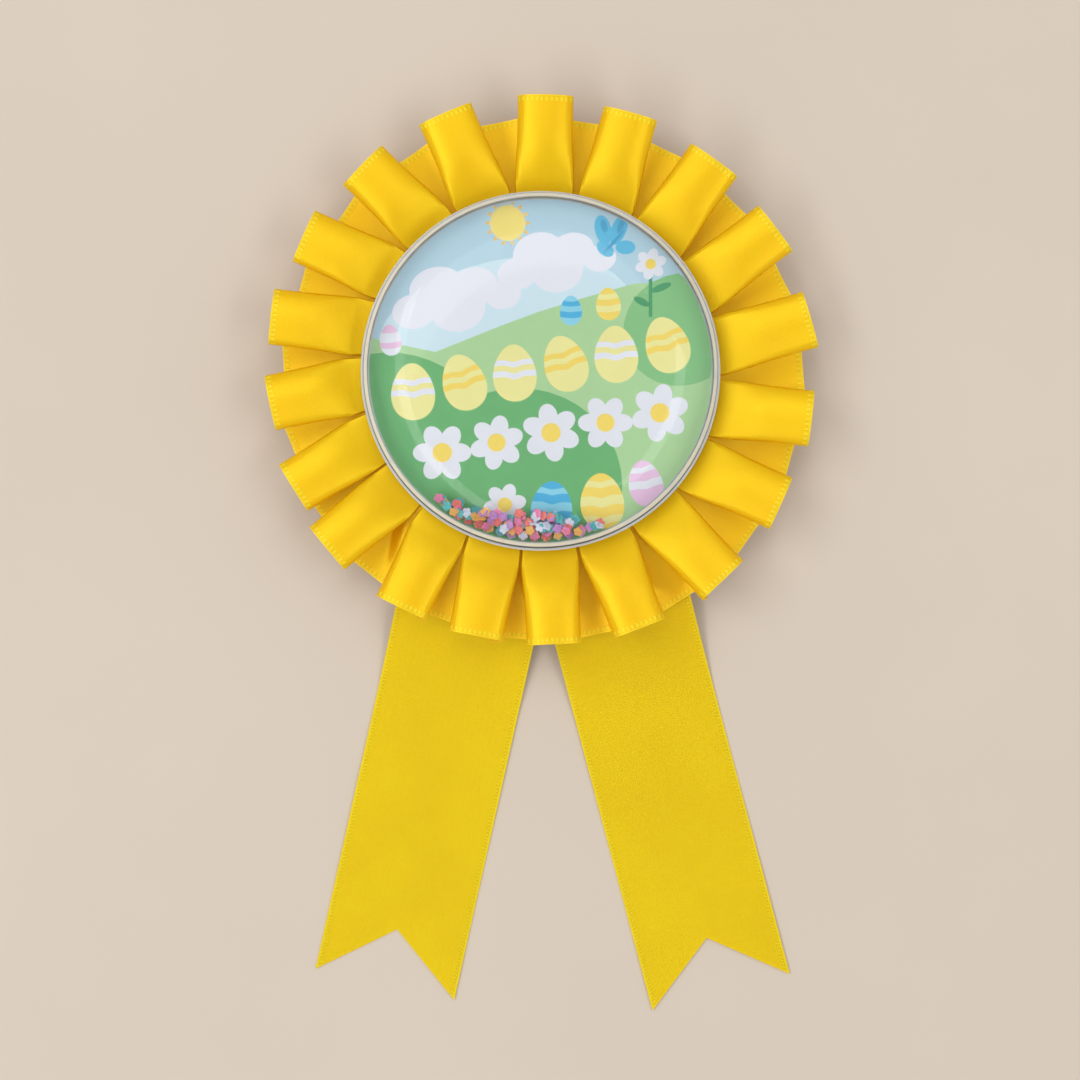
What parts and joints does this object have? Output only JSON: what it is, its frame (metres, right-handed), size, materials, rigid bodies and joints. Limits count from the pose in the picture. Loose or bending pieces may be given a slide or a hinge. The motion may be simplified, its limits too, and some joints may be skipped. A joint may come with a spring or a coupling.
{
  "type": "award ribbon",
  "caption": "Award rosette: pleated satin frill round a clear domed badge with loose confetti, two swallow-cut ribbon tails, brooch pin behind.",
  "frame": {"origin": "middle of the footprint, on the table that the rosette lies on", "axes": "+Z out of the badge's face, +Y from the tails towards the top of the rosette"},
  "size_m": [0.0954, 0.159, 0.0206],
  "materials": {
    "satin": "yellow satin ribbon with a woven selvedge",
    "thread": "polyester sewing thread",
    "clear_plastic": "clear, polished",
    "print": "printed paper, semi-matt",
    "card": "white card",
    "foam": "double-sided foam pad",
    "steel": "nickel-plated",
    "confetti_pink": "satin",
    "confetti_coral": "satin",
    "confetti_orange": "satin",
    "confetti_teal": "satin",
    "confetti_lilac": "satin",
    "confetti_ice": "satin"
  },
  "bodies": {
    "rosette": {"backing_card": "card", "badge_back": "clear_plastic", "bar_tape": "foam", "dome_cover": "clear_plastic", "foam_pad": "foam", "gathering_thread": "thread", "left_tail_anchor": "satin", "pin_bar": "steel", "pin_rivet": "steel", "pleated_frill": "satin", "printed_insert": "print", "right_tail_anchor": "satin"},
    "pin": {"pin_wire": "steel"},
    "catch": {"catch_barrel": "steel"},
    "left_tail": {"left_tail": "satin"},
    "right_tail": {"right_tail": "satin"},
    "confetti": {"confetti_01": "confetti_ice", "confetti_02": "confetti_lilac", "confetti_03": "confetti_teal", "confetti_04": "confetti_orange", "confetti_05": "confetti_coral", "confetti_06": "confetti_pink", "confetti_07": "confetti_ice", "confetti_08": "confetti_lilac", "confetti_09": "confetti_teal", "confetti_10": "confetti_orange", "confetti_11": "confetti_coral", "confetti_12": "confetti_pink", "confetti_13": "confetti_ice", "confetti_14": "confetti_lilac", "confetti_15": "confetti_teal", "confetti_16": "confetti_orange", "confetti_17": "confetti_coral", "confetti_18": "confetti_pink", "confetti_19": "confetti_ice", "confetti_20": "confetti_lilac", "confetti_21": "confetti_teal", "confetti_22": "confetti_orange", "confetti_23": "confetti_coral", "confetti_24": "confetti_pink", "confetti_25": "confetti_ice", "confetti_26": "confetti_lilac", "confetti_27": "confetti_teal", "confetti_28": "confetti_orange", "confetti_29": "confetti_coral", "confetti_30": "confetti_pink", "confetti_31": "confetti_ice", "confetti_32": "confetti_lilac", "confetti_33": "confetti_teal", "confetti_34": "confetti_orange", "confetti_35": "confetti_coral", "confetti_36": "confetti_pink"}
  },
  "joints": [
    {"name": "pin_swing", "type": "hinge", "parent": "rosette", "child": "pin", "pos_m": [-0.012, 0.0443, 0.002], "axis": [0, 1, 0], "range_deg": [0, 75]},
    {"name": "catch_turn", "type": "hinge", "parent": "rosette", "child": "catch", "pos_m": [0.012, 0.0443, 0.002], "axis": [1, 0, 0], "range_deg": [-110, 0]},
    {"name": "left_tail_lift", "type": "hinge", "parent": "rosette", "child": "left_tail", "pos_m": [-0.01429, -0.01625, 0.00198], "axis": [-0.9759, 0.2181, 0], "range_deg": [0, 90]},
    {"name": "right_tail_lift", "type": "hinge", "parent": "rosette", "child": "right_tail", "pos_m": [0.01569, -0.01578, 0.00221], "axis": [-0.9664, -0.2571, 0], "range_deg": [0, 90]},
    {"name": "confetti_shift", "type": "hinge", "parent": "rosette", "child": "confetti", "pos_m": [0, 0.0323, 0.0132], "axis": [0, 0, 1], "continuous": true}
  ]
}
